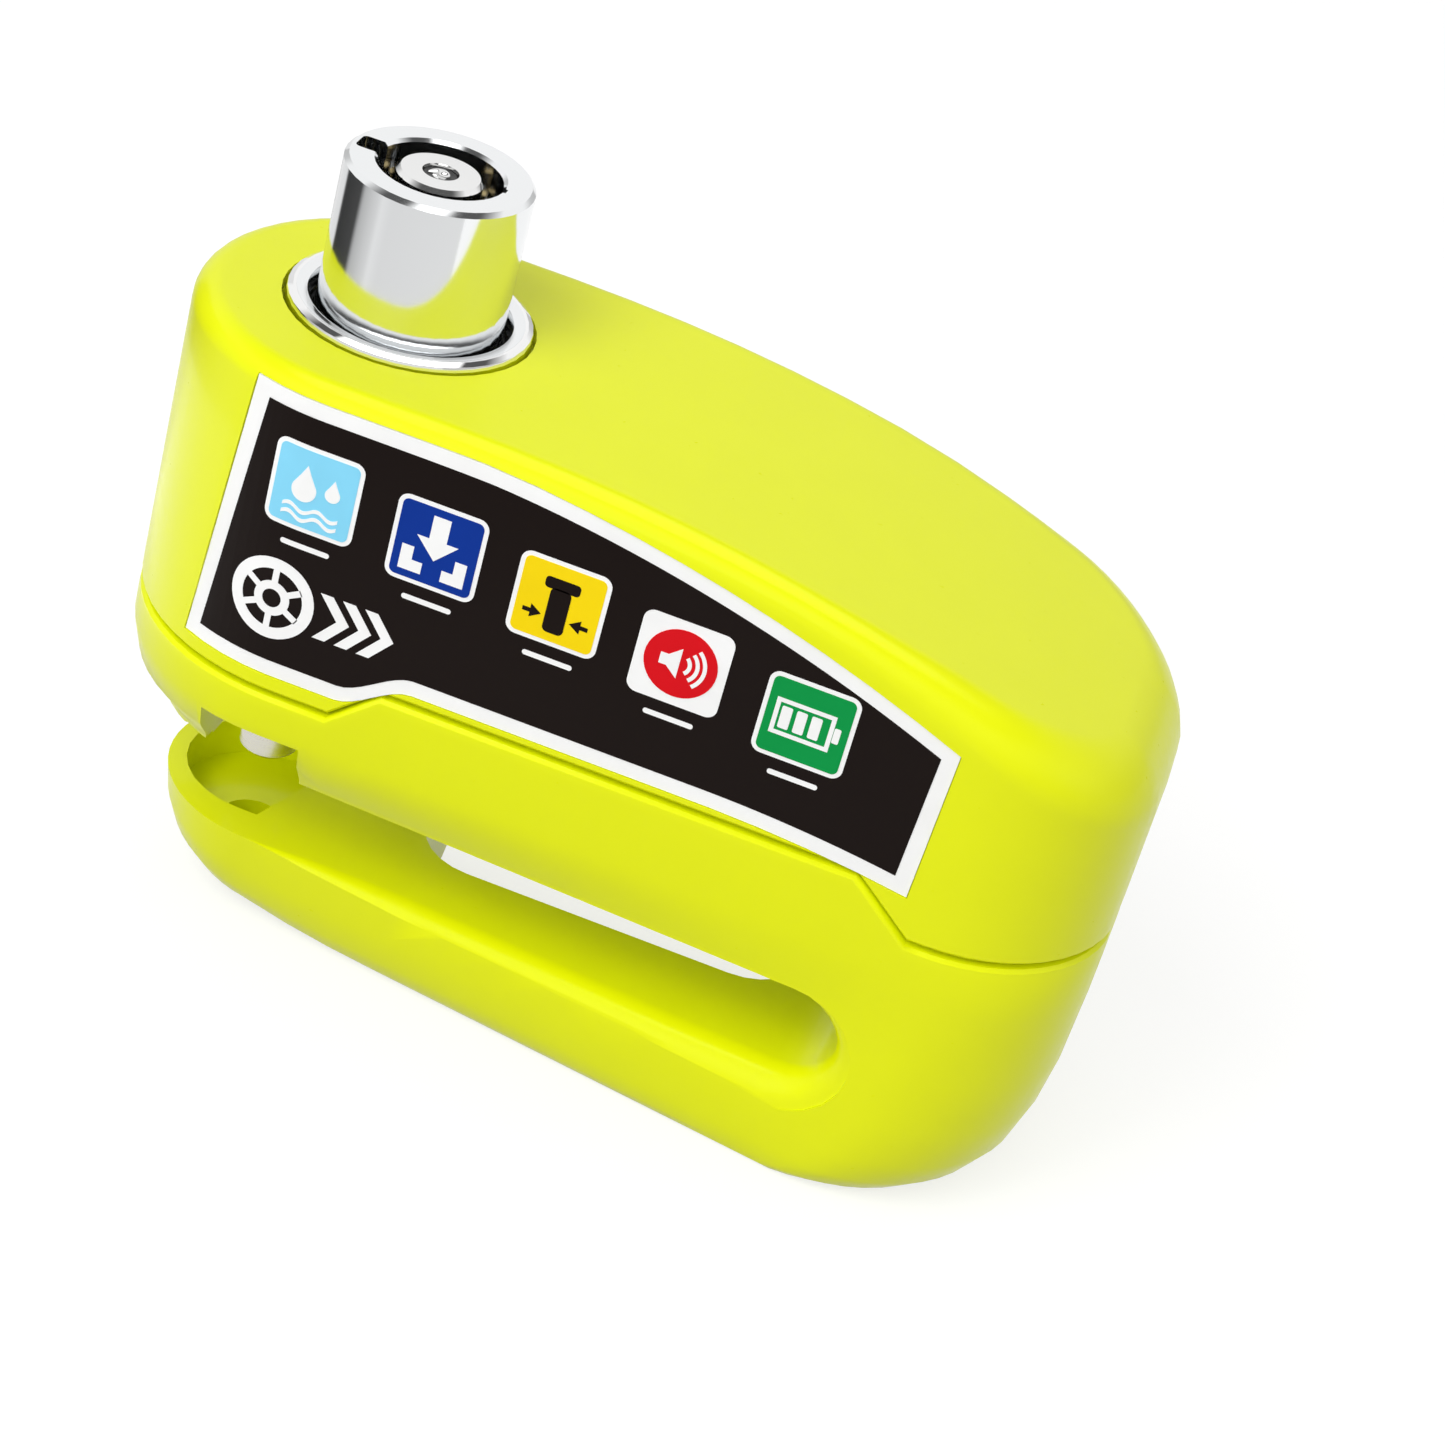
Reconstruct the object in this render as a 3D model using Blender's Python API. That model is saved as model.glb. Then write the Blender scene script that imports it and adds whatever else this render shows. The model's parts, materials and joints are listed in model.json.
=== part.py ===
"""Alarm disc brake lock: a two-part cast housing with a disc slot, a push cylinder with a tubular
keyway that drives a lock pin across the slot, and a battery alarm inside.
Metres, +Z up along the pin. Origin at the bottom centre; the slot mouth and the pin are at -X."""

import math

import bmesh
import bpy
from mathutils import Matrix, Vector

MM = 0.001
GAP = 0.3  # clearance between separate pieces, mm

# Driving dimensions, mm
LENGTH = 96.0
WIDTH = 38.0
COVER_TOP = 62.0
WALL = 3.0
EDGE_RADIUS = 2.4
CYLINDER_X = -29.0
CYLINDER_R = 8.5
CYLINDER_TOP = 76.0
CYLINDER_BOTTOM = 44.0
PIN = (-32.5, -3.4)
SPRING = (-30.0, 4.6)
MAGNET = (-24.0, -4.2)
PIN_R = 2.75
PIN_TIP = 15.1
JAW_POCKET_FLOOR = 6.5
SLOT_FLOOR = 10.5
SLOT_CEILING = 20.5
SLOT_END = 28.5
NOTCH_CEILING = 26.2
NOTCH_X = (-35.3, -25.4)
BORE_FLOOR = 31.0
CAVITY_FLOOR = 24.0
CAVITY_X = (-14.5, 36.5)
CAVITY_HALF = 15.0

# The parting line: low at both ends and raised along the disc slot
LABEL_FOOT = (-38.6, 30.3)
LABEL_HEAD = (-36.1, 30.9)
LABEL_STEP = (-23.2, -16.4)
LABEL_FALL = 10.0
LABEL_LOW = 32.9
LABEL_HIGH = 36.1
LABEL_MARGIN = 1.5
SEAM_LOW_LEFT = 31.0
SEAM_HIGH = 35.0
SEAM_LOW_RIGHT = 30.0
SEAM_STEPS = [(-23.5, SEAM_LOW_LEFT), (-19.0, SEAM_HIGH), (25.5, SEAM_HIGH), (31.5, SEAM_LOW_RIGHT)]

LEFT_END = -LENGTH / 2
RIGHT_END = LENGTH / 2
HALF = WIDTH / 2
CORNER = 15.0
SIDE_START = LEFT_END + HALF
SIDE_X = (-23.5, -19.0, -13.5, -8.0, -2.5, 3.0, 8.5, 14.0, 20.0, 25.5, 28.5, 31.5)
SIDE_LENGTH = RIGHT_END - CORNER - SIDE_START
SIDE_SHARES = [(x - SIDE_START) / SIDE_LENGTH for x in SIDE_X]
SLEEVE_R = 10.3
COLLAR_R = 11.2
TIP_POINTS = 14
CORNER_POINTS = 12
ROUND = 40
SMALL_ROUND = 14

KEYWAY_R = 5.6
POST_R = 3.9
KEYWAY_FLOOR = CYLINDER_TOP - 7.0
CORE_BOTTOM = CYLINDER_TOP - 16.0
TUMBLER_COUNT = 7
TUMBLER_R = 0.6
SPRING_TURNS = 9
SPRING_WIRE_R = 0.4
SPRING_R = 2.5
SPRING_TOP = 52.5

CELL_R = 5.8
CELL_LENGTH = 5.4
CELL_STACK = 3
CELL_START_X = -9.0
CELL_Y = 6.6
CELL_Z = 31.0
BOARD_Z = 40.5
SOUNDER_X = 23.0
SOUNDER_R = 10.5
SCREWS = [(-16.8, -12.5), (-16.8, 12.5), (40.3, 0.0)]

COLOURS = {
    "lime": ((0.78, 0.86, 0.01), 0.28, 0.0),
    "chrome": ((0.86, 0.87, 0.88), 0.06, 1.0),
    "steel": ((0.62, 0.61, 0.57), 0.3, 1.0),
    "black": ((0.02, 0.018, 0.018), 0.45, 0.0),
    "white": ((0.86, 0.86, 0.85), 0.4, 0.0),
    "brass": ((0.72, 0.55, 0.24), 0.3, 1.0),
    "green": ((0.02, 0.22, 0.09), 0.5, 0.0),
    "rubber": ((0.03, 0.03, 0.03), 0.8, 0.0),
}


def clear_scene():
    for obj in list(bpy.data.objects):
        bpy.data.objects.remove(obj)


def material(name):
    found = bpy.data.materials.get(name)
    if found:
        return found
    colour, roughness, metallic = COLOURS[name]
    made = bpy.data.materials.new(name)
    made.use_nodes = True
    shader = made.node_tree.nodes["Principled BSDF"]
    shader.inputs["Base Color"].default_value = (*colour, 1.0)
    shader.inputs["Roughness"].default_value = roughness
    shader.inputs["Metallic"].default_value = metallic
    return made


def add_object(name, bm, finish=None):
    """A mesh object from a bmesh in millimetres. Without a finish it is a cutter."""
    bmesh.ops.remove_doubles(bm, verts=bm.verts, dist=1e-4)
    bmesh.ops.recalc_face_normals(bm, faces=bm.faces)
    bm.transform(Matrix.Scale(MM, 4))
    mesh = bpy.data.meshes.new(name)
    bm.to_mesh(mesh)
    bm.free()
    mesh.shade_smooth()
    mesh.set_sharp_from_angle(angle=math.radians(35))
    obj = bpy.data.objects.new(name, mesh)
    bpy.context.scene.collection.objects.link(obj)
    if finish:
        mesh.materials.append(material(finish))
    else:
        obj.hide_render = True
        obj.display_type = "WIRE"
    return obj


def boolean(obj, other, operation="DIFFERENCE"):
    modifier = obj.modifiers.new(f"{operation.lower()}_{other.name}", "BOOLEAN")
    modifier.operation = operation
    modifier.object = other
    return obj


def cut(obj, *cutters):
    for cutter in cutters:
        boolean(obj, cutter)
    return obj


def loft(rings, cap_bottom=True, cap_top=True):
    """A closed bmesh through rings of equal point counts, each a list of Vectors."""
    bm = bmesh.new()
    made = [[bm.verts.new(p) for p in ring] for ring in rings]
    count = len(made[0])
    for low, high in zip(made, made[1:]):
        for i in range(count):
            j = (i + 1) % count
            bm.faces.new((low[i], low[j], high[j], high[i]))
    for ring, wanted in ((made[0], cap_bottom), (made[-1], cap_top)):
        if wanted:
            bridge_across(bm, ring)
    return bm


def bridge_across(bm, ring):
    """Fills a ring that is symmetric in Y with strips from its front points to its back points."""
    count = len(ring)
    for i in range(count // 2):
        corners = [ring[i], ring[i + 1], ring[-i - 1], ring[-i]]
        corners = list(dict.fromkeys(corners))
        if len(corners) > 2:
            bm.faces.new(corners)


def turned(profile, centre=(0, 0), steps=ROUND):
    """A solid of revolution about a vertical axis through centre, from (radius, z) points.
    A profile that starts and ends on the axis is solid, and any other is a ring."""
    bm = bmesh.new()
    solid = profile[0][0] == 0
    rings = []
    for radius, z in (profile[1:-1] if solid else profile):
        angles = [2 * math.pi * (k + 0.5) / steps for k in range(steps)]
        rings.append([
            bm.verts.new((centre[0] + radius * math.cos(a), centre[1] + radius * math.sin(a), z)) for a in angles
        ])
    pairs = list(zip(rings, rings[1:])) + ([] if solid else [(rings[-1], rings[0])])
    for low, high in pairs:
        for k in range(steps):
            j = (k + 1) % steps
            bm.faces.new((low[k], low[j], high[j], high[k]))
    if solid:
        bm.faces.new(rings[0])
        bm.faces.new(rings[-1])
    return bm


def cylinder_bm(radius, low, high, centre, steps=ROUND):
    return turned([(0, low), (radius, low), (radius, high), (0, high)], centre, steps)


def tube_bm(outer, inner, low, high, centre, steps=ROUND):
    return turned([(outer, low), (outer, high), (inner, high), (inner, low)], centre, steps)


def box_bm(low, high, bevel=0.0):
    bm = bmesh.new()
    bmesh.ops.create_cube(bm, size=1.0)
    size = Vector(high) - Vector(low)
    bmesh.ops.scale(bm, vec=size, verts=bm.verts)
    bmesh.ops.translate(bm, vec=(Vector(low) + Vector(high)) / 2, verts=bm.verts)
    if bevel:
        bmesh.ops.bevel(bm, geom=bm.edges, offset=bevel, segments=2, affect="EDGES", profile=0.5)
    return bm


def prism_bm(points, low, high, axis="Y"):
    """Extrudes a closed outline of (x, z) points along Y, or of (x, y) points along Z."""
    bm = bmesh.new()
    ends = []
    for level in (low, high):
        ends.append([
            bm.verts.new((a, level, b) if axis == "Y" else (a, b, level)) for a, b in points
        ])
    bm.faces.new(ends[0])
    bm.faces.new(ends[1])
    for i in range(len(points)):
        j = (i + 1) % len(points)
        bm.faces.new((ends[0][i], ends[0][j], ends[1][j], ends[1][i]))
    return bm


def arc(centre, radius, start, stop, count):
    return [
        (
            centre[0] + radius * math.cos(math.radians(start + (stop - start) * k / (count - 1))),
            centre[1] + radius * math.sin(math.radians(start + (stop - start) * k / (count - 1))),
        )
        for k in range(count)
    ]


def rounded_outline(low, high, radius, count=5):
    """A rectangle with round corners."""
    (x0, y0), (x1, y1) = low, high
    return (
        arc((x1 - radius, y1 - radius), radius, 0, 90, count)
        + arc((x0 + radius, y1 - radius), radius, 90, 180, count)
        + arc((x0 + radius, y0 + radius), radius, 180, 270, count)
        + arc((x1 - radius, y0 + radius), radius, 270, 360, count)
    )


def plan_half(left, right, left_half, right_half, corner):
    """Half of a plan outline, from the round left tip to the right end, at y >= 0."""
    start = (left + left_half, left_half)
    stop = (right - corner, right_half)
    tip = arc((start[0], 0), left_half, 180, 90, TIP_POINTS)
    side = [tuple(a + (b - a) * share for a, b in zip(start, stop)) for share in SIDE_SHARES]
    end = arc((stop[0], right_half - corner), corner, 90, 8, CORNER_POINTS)
    return tip + side + end + [(right, 0.0)]


def plan_ring(half, height):
    """A closed ring through a half outline and its mirror image. height is a function of x."""
    front = [(x, -y) for x, y in half[1:-1]]
    return [Vector((x, y, height(x))) for x, y in half + front[::-1]]


def top_height(x):
    """The crown of the cover: level round the cylinder, then falling away to the right end."""
    run = max(0.0, x - (CYLINDER_X + 8.0)) / 65.0
    return COVER_TOP - 12.0 * run**2.2


def seam_height(x):
    """The parting line: low at both ends and raised along the disc slot."""
    if x <= SEAM_STEPS[0][0]:
        return SEAM_STEPS[0][1]
    for (x0, z0), (x1, z1) in zip(SEAM_STEPS, SEAM_STEPS[1:]):
        if x <= x1:
            return z0 + (z1 - z0) * (x - x0) / (x1 - x0)
    return SEAM_STEPS[-1][1]


def cover_half(inset=0.0):
    return plan_half(LEFT_END + inset, RIGHT_END - inset, HALF - inset, HALF - inset, CORNER - inset)


def seam_ring(inset, rise):
    return plan_ring(cover_half(inset), lambda x: seam_height(x) + rise)


def edge_radius(x):
    """The cover's upper edge is rounder towards the right end."""
    share = min(1.0, max(0.0, (x - 14.0) / 32.0))
    return EDGE_RADIUS + 2.6 * share * share * (3 - 2 * share)


def edge_ring(angle):
    """A ring of the cover's rounded upper edge, from 0 at its foot to 90 degrees on the crown."""
    across = 1 - math.cos(math.radians(angle))
    down = 1 - math.sin(math.radians(angle))
    outer = plan_ring(cover_half(), lambda x: 0.0)
    inner = plan_ring(cover_half(1.0), lambda x: 0.0)
    ring = []
    for start, towards in zip(outer, inner):
        radius = edge_radius(start.x)
        place = start + (towards - start) * radius * across
        ring.append(Vector((place.x, place.y, top_height(place.x) - radius * down)))
    return ring


def top_cover():
    rings = [seam_ring(0.4, 0.2), seam_ring(0.0, 0.6)]
    rings += [edge_ring(angle) for angle in (0, 15, 30, 45, 60, 75, 90)]
    cover = add_object("top_cover", loft(rings), "lime")
    hollow = [
        plan_ring(cavity_half(), lambda x: CAVITY_FLOOR),
        plan_ring(cavity_half(), lambda x: top_height(x) - WALL),
    ]
    cut(cover, add_object("cover_hollow", loft(hollow)))
    cut(cover, add_object("cover_bore", cylinder_bm(SLEEVE_R + GAP, 20, 70, (CYLINDER_X, 0))))
    recess = cylinder_bm(COLLAR_R + GAP, COVER_TOP - 1.5, 70, (CYLINDER_X, 0))
    cut(cover, add_object("collar_recess", recess))
    for index, (x, y) in enumerate(SCREWS):
        hole = cylinder_bm(1.5, 20, seam_height(x) + 10, (x, y), SMALL_ROUND)
        cut(cover, add_object(f"cover_screw_hole_{index}", hole))
    return cover


def cavity_half(inset=0.0):
    """Half of the hollow's plan. Its ends bow out a little."""
    x0, x1 = CAVITY_X
    corner = arc((x0 + 2.8, CAVITY_HALF - 2.5), 2.5 - inset, 180, 90, 4)
    side = [(x, CAVITY_HALF - inset) for x in (3.0, 14.0, 25.5)]
    end = arc((x1 - 9.3, CAVITY_HALF - 9), 9 - inset, 90, 0, 8)
    return [(x0 + inset, 0)] + corner + side + end + [(x1 - inset, 0)]


def cover_seal():
    """A rubber ring inside the hollow, across the parting line."""
    bm = bmesh.new()
    rings = []
    for inset, rise in ((GAP, -1.5), (GAP, 1.5), (1.5, 1.5), (1.5, -1.5)):
        ring = plan_ring(cavity_half(inset), lambda x, rise=rise: seam_height(x) + rise)
        rings.append([bm.verts.new(point) for point in ring])
    count = len(rings[0])
    for low, high in zip(rings, rings[1:] + rings[:1]):
        for i in range(count):
            j = (i + 1) % count
            bm.faces.new((low[i], low[j], high[j], high[i]))
    add_object("cover_seal", bm, "rubber")


# The lower body's rounded upper edge: how far in, how far below the seam
SEAM_BEAD = [(0.9, 0.0), (0.35, 0.15), (0.05, 0.5), (0.0, 0.9)]

# Plan of the lower body by height: z, left tip, left half width, right half width, right end
BODY_LEVELS = [
    (27.0, -48.0, 18.7, 19.0, 48.0),
    (24.0, -47.2, 17.8, 19.0, 48.0),
    (21.5, -44.6, 15.8, 18.9, 47.9),
    (16.0, -43.0, 13.5, 18.9, 47.7),
    (10.5, -42.4, 12.2, 18.9, 47.0),
    (6.0, -42.0, 11.6, 18.8, 45.8),
    (3.0, -41.2, 10.8, 18.5, 44.0),
    (1.2, -39.8, 9.7, 18.0, 42.0),
    (0.3, -38.3, 8.6, 17.3, 40.2),
    (0.0, -37.4, 7.8, 16.6, 39.0),
]


def nose_lift(x):
    """How far the jaw's underside sweeps up towards its nose."""
    return 4.0 * (max(0.0, -16.0 - x) / 24.0) ** 2.5


def lower_body():
    rings = []
    for inset, drop in SEAM_BEAD:
        rings.append(plan_ring(cover_half(inset), lambda x, drop=drop: seam_height(x) - 0.2 - drop))
    for z, left, left_half, right_half, right in BODY_LEVELS:
        half = plan_half(left, right, left_half, right_half, min(14.0, right_half - 2.0))
        rings.append(plan_ring(half, lambda x, z=z: z + nose_lift(x) * max(0.0, 1 - z / SLOT_FLOOR)))
    body = add_object("lower_body", loft(rings), "lime")
    pocket = [
        plan_ring(cavity_half(), lambda x: CAVITY_FLOOR),
        plan_ring(cavity_half(), lambda x: 45.0),
    ]
    cut(body, add_object("body_pocket", loft(pocket)), slot_cutter(), *nose_cutters())
    cut(body, add_object("jaw_recess", jaw_recess()))
    soften(body, 0.7)
    for index, (x, y) in enumerate(SCREWS):
        cut(body, add_object(f"body_screw_hole_{index}", screw_hole(x, y)))
    for index, (dx, dy) in enumerate(sound_holes()):
        hole = cylinder_bm(1.0, SLOT_CEILING - 3, CAVITY_FLOOR + 1, (SOUNDER_X + dx, dy), 10)
        cut(body, add_object(f"sound_hole_{index}", hole))
    return body


def soften(obj, width, segments=2, angle=50):
    """Rounds the edges that the cuts leave."""
    modifier = obj.modifiers.new("soft_edges", "BEVEL")
    modifier.width = width * MM
    modifier.segments = segments
    modifier.limit_method = "ANGLE"
    modifier.angle_limit = math.radians(angle)
    return obj


def slot_outline():
    """The disc slot in XZ, with how much each point's rim is rounded: open at the left, round at the right."""
    radius = (SLOT_CEILING - SLOT_FLOOR) / 2
    middle = (SLOT_CEILING + SLOT_FLOOR) / 2
    floor = [(x, SLOT_FLOOR, 0.0, -1.0, rim_radius(x)) for x in (-60, -30, -24, -14, -4, 6, 14)]
    ceiling = [(x, SLOT_CEILING, 0.0, 1.0, 0.4) for x in (14, 6, -4, -14, -24, -30, -60)]
    end = []
    for k in range(13):
        angle = math.radians(-90 + 15 * k)
        across, up = math.cos(angle), math.sin(angle)
        rim = 0.4 + (rim_radius(SLOT_END) - 0.4) * (1 - up) / 2
        end.append((SLOT_END - radius + radius * across, middle + radius * up, across, up, rim))
    return floor + end + ceiling


def rim_radius(x):
    near_pin = min(1.0, max(0.0, (x + 30.0) / 10.0))
    near_end = min(1.0, max(0.0, (x + 20.0) / 48.0))
    return 0.4 + 1.8 * near_pin + 1.0 * near_end


def slot_face(x):
    """Half width of the body along the slot."""
    share = min(1.0, max(0.0, (x + 31.4) / 63.8))
    return 12.4 + 6.4 * share


def slot_cutter():
    """The disc slot, flared by a rounded rim at the front and the back."""
    outline = slot_outline()
    rings = []
    for side in (-1, 1):
        stages = [(90 - 15 * k) for k in range(7)]
        layers = [(3.0, 1.0)] + [(-(1 - math.sin(math.radians(a))), 1 - math.cos(math.radians(a))) for a in stages]
        made = []
        for out, grow in layers:
            ring = []
            for x, z, nx, nz, rim in outline:
                y = slot_face(x) + (out if out > 0 else out * rim)
                ring.append(Vector((x + nx * rim * grow, side * y, z + nz * rim * grow)))
            made.append(ring)
        rings += made if side < 0 else made[::-1]
    bm = bmesh.new()
    verts = [[bm.verts.new(point) for point in ring] for ring in rings]
    count = len(outline)
    for low, high in zip(verts, verts[1:]):
        for i in range(count):
            j = (i + 1) % count
            bm.faces.new((low[i], low[j], high[j], high[i]))
    bm.faces.new(verts[0])
    bm.faces.new(verts[-1])
    return add_object("disc_slot", bm)


def nose_cutters():
    """The pin's bores and notch at the left end."""
    notch = prism_bm([(x, z) for x, z in zip(NOTCH_X + NOTCH_X[::-1], (18, 18, NOTCH_CEILING, NOTCH_CEILING))], -30, 5.0)
    pad = prism_bm(arc((-32.7, 0), 8.1, 90, 270, 14) + [(-30.8, -8.1), (-28.4, 0), (-30.8, 8.1)], JAW_POCKET_FLOOR, 12, "Z")
    return [
        add_object("cylinder_bore", cylinder_bm(SLEEVE_R + GAP, BORE_FLOOR, 60, (CYLINDER_X, 0))),
        add_object("bush_bore", cylinder_bm(4.4, 20, 40, PIN, 24)),
        add_object("pin_notch", notch),
        add_object("jaw_pad", pad),
        add_object("jaw_bore", cylinder_bm(PIN_R + GAP, 2.6, 14, PIN, 24)),
    ]


def jaw_recess():
    """The lower jaw is cut away behind its front bar, between the pin end and the closed end."""
    front = arc((-10.5, 1.0), 6.0, 180, 270, 7) + arc((16.0, 1.0), 6.0, 270, 360, 7)
    return prism_bm([(-16.5, 40.0)] + front + [(22.0, 40.0)], -5, SLOT_FLOOR + 3, "Z")


def sound_holes():
    return [(0.0, 0.0)] + [(4.2 * math.cos(k * math.pi / 3), 4.2 * math.sin(k * math.pi / 3)) for k in range(6)]


def screw_hole(x, y):
    """A counterbored hole from the slot's ceiling, or from the underside beyond the slot."""
    start = SLOT_CEILING - 2 if x < SLOT_END else -1
    head = screw_head_top(x) - GAP
    return turned([(0, start), (2.9, start), (2.9, head), (1.6, head), (1.6, 40), (0, 40)], (x, y), SMALL_ROUND)


def screw_head_top(x):
    return SLOT_CEILING + 2.5 if x < SLOT_END else 20.0


def cover_screws():
    for index, (x, y) in enumerate(SCREWS):
        head = screw_head_top(x) - 2 * GAP
        top = seam_height(x) + 9.0
        profile = [(0, head - 1.7), (2.5, head - 1.7), (2.5, head), (1.2, head), (1.2, top), (0, top)]
        add_object(f"cover_screw_{index + 1}", turned(profile, (x, y), SMALL_ROUND), "steel")


def collar_ring():
    top = COVER_TOP
    inner = CYLINDER_R + 0.6
    profile = [
        (COLLAR_R, top - 1.2), (COLLAR_R, top + 0.2), (COLLAR_R - 0.15, top + 0.55), (COLLAR_R - 0.6, top + 0.8),
        (COLLAR_R - 1.1, top + 0.75), (COLLAR_R - 1.5, top + 0.4), (COLLAR_R - 1.75, top - 0.2),
        (inner, top - 0.8), (inner, top - 1.2),
    ]
    add_object("collar_ring", turned(profile, (CYLINDER_X, 0)), "chrome")


def cylinder_sleeve():
    """The barrel that the push cylinder slides in, with a long window for the latch."""
    sleeve = add_object(
        "cylinder_sleeve",
        tube_bm(SLEEVE_R, CYLINDER_R + GAP, BORE_FLOOR + GAP, COVER_TOP - 1.5, (CYLINDER_X, 0)), "steel")
    window = box_bm((CYLINDER_X + 5, -2.1, 32.5), (CYLINDER_X + 14, 2.1, 52.0))
    cut(sleeve, add_object("latch_window", window))


def lock_cylinder():
    axis = (CYLINDER_X, 0)
    bevel = 0.4
    profile = [
        (0, CYLINDER_BOTTOM), (CYLINDER_R, CYLINDER_BOTTOM), (CYLINDER_R, CYLINDER_TOP - bevel),
        (CYLINDER_R - bevel, CYLINDER_TOP), (0, CYLINDER_TOP),
    ]
    body = add_object("lock_cylinder", turned(profile, axis), "chrome")
    cut(body, add_object("keyway", turned([
        (0, CORE_BOTTOM - GAP), (KEYWAY_R, CORE_BOTTOM - GAP), (KEYWAY_R, CYLINDER_TOP - 0.3),
        (KEYWAY_R + 1.3, CYLINDER_TOP + 1.0), (0, CYLINDER_TOP + 1.0),
    ], axis)))
    slot = prism_bm(
        arc((CYLINDER_X - 6.2, 0), 1.0, 90, 270, 7) + [(CYLINDER_X, -1.0), (CYLINDER_X, 1.0)],
        CYLINDER_TOP - 6, CYLINDER_TOP + 5, "Z")
    cut(body, add_object("key_tab_slot", slot))
    nick = box_bm((CYLINDER_X, -0.4, CYLINDER_TOP - 6), (CYLINDER_X + 6.1, 0.4, CYLINDER_TOP + 5))
    cut(body, add_object("key_nick", nick))
    cut(body, add_object("pin_socket", cylinder_bm(PIN_R + GAP, 30, 57.3, PIN, 24)))
    cut(body, add_object("spring_pocket", cylinder_bm(3.3, 30, SPRING_TOP + GAP, SPRING, 24)))
    cut(body, add_object("magnet_pocket", cylinder_bm(1.8, 30, CYLINDER_BOTTOM + 2.6, MAGNET, SMALL_ROUND)))
    latch = box_bm((CYLINDER_X + 1.4, -1.8, 45.6), (CYLINDER_X + 20, 1.8, 49.2))
    cut(body, add_object("latch_channel", latch))
    return body


def key_core():
    axis = (CYLINDER_X, 0)
    wide = KEYWAY_R - GAP
    profile = [
        (0, CORE_BOTTOM), (wide, CORE_BOTTOM), (wide, KEYWAY_FLOOR), (POST_R, KEYWAY_FLOOR),
        (POST_R, CYLINDER_TOP - 0.7), (POST_R - 0.35, CYLINDER_TOP - 0.3), (1.65, CYLINDER_TOP - 0.3),
        (1.5, CYLINDER_TOP - 1.3), (0.9, CYLINDER_TOP - 1.3), (0.65, CYLINDER_TOP - 0.7), (0, CYLINDER_TOP - 0.7),
    ]
    core = add_object("key_core", turned(profile, axis), "steel")
    for index, centre in enumerate(tumbler_places()):
        hole = cylinder_bm(TUMBLER_R + 0.25, CORE_BOTTOM + 2.0, CYLINDER_TOP, centre, 10)
        cut(core, add_object(f"tumbler_hole_{index}", hole))


def tumbler_places():
    radius = (KEYWAY_R - GAP + POST_R) / 2 + 0.1
    angles = [2 * math.pi * (k + 0.5) / TUMBLER_COUNT for k in range(TUMBLER_COUNT)]
    return [(CYLINDER_X + radius * math.cos(a), radius * math.sin(a)) for a in angles]


def tumbler_pins():
    for index, centre in enumerate(tumbler_places()):
        pin = cylinder_bm(TUMBLER_R, CORE_BOTTOM + 4.5, KEYWAY_FLOOR + 1.2, centre, 10)
        add_object(f"tumbler_pin_{index + 1}", pin, "brass")


def lock_pin():
    bevel = 0.5
    profile = [(0, PIN_TIP), (PIN_R - bevel, PIN_TIP), (PIN_R, PIN_TIP + bevel), (PIN_R, 57.0), (0, 57.0)]
    add_object("lock_pin", turned(profile, PIN, 24), "steel")


def magnet():
    low = CYLINDER_BOTTOM + 0.3
    add_object("switch_magnet", cylinder_bm(1.5, low, low + 2.0, MAGNET, SMALL_ROUND), "steel")


def latch_bolt():
    bolt = box_bm((CYLINDER_X + 3.2, -1.5, 45.9), (CYLINDER_X + 9.7, 1.5, 48.9), 0.3)
    add_object("latch_bolt", bolt, "steel")


def return_spring():
    curve = bpy.data.curves.new("return_spring", "CURVE")
    curve.dimensions = "3D"
    curve.bevel_depth = SPRING_WIRE_R * MM
    curve.bevel_resolution = 1
    curve.use_fill_caps = True
    steps = SPRING_TURNS * 10
    low = BORE_FLOOR + GAP + SPRING_WIRE_R
    high = SPRING_TOP - SPRING_WIRE_R
    spline = curve.splines.new("POLY")
    spline.points.add(steps)
    for k in range(steps + 1):
        angle = 2 * math.pi * SPRING_TURNS * k / steps
        place = (
            SPRING[0] + SPRING_R * math.cos(angle), SPRING[1] + SPRING_R * math.sin(angle), low + (high - low) * k / steps)
        spline.points[k].co = (*[value * MM for value in place], 1.0)
    spring = bpy.data.objects.new("return_spring", curve)
    curve.materials.append(material("steel"))
    bpy.context.scene.collection.objects.link(spring)
    print("return_spring gap between turns, mm:", round((high - low) / SPRING_TURNS - 2 * SPRING_WIRE_R, 2))


def pin_guide_bush():
    guide = tube_bm(4.1, PIN_R + GAP, NOTCH_CEILING + 0.4, BORE_FLOOR - 0.1, PIN, 24)
    add_object("pin_guide_bush", guide, "brass")


def front_place(x, depth):
    """Where the cover's front face is in plan, at a depth below it: flat, then round the left end."""
    if x >= SIDE_START:
        return x, depth - HALF
    angle = math.asin((x - SIDE_START) / HALF)
    return SIDE_START + (HALF - depth) * math.sin(angle), (depth - HALF) * math.cos(angle)


def label_low(x):
    """The label's lower edge, which steps up with the seam and falls a little at the right."""
    share = min(1.0, max(0.0, (x - LABEL_STEP[0]) / (LABEL_STEP[1] - LABEL_STEP[0])))
    fall = max(0.0, x - LABEL_FALL) / (LABEL_FOOT[1] - LABEL_FALL)
    rise = (LABEL_HIGH - LABEL_LOW) * share * share * (3 - 2 * share)
    return LABEL_LOW + rise - 1.6 * fall**2


def label_high(x):
    """The label's upper edge, further below the crown towards the right."""
    share = max(0.0, (x + 14.0) / 44.0)
    return top_height(x) - LABEL_MARGIN - 3.4 * share**1.3


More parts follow.
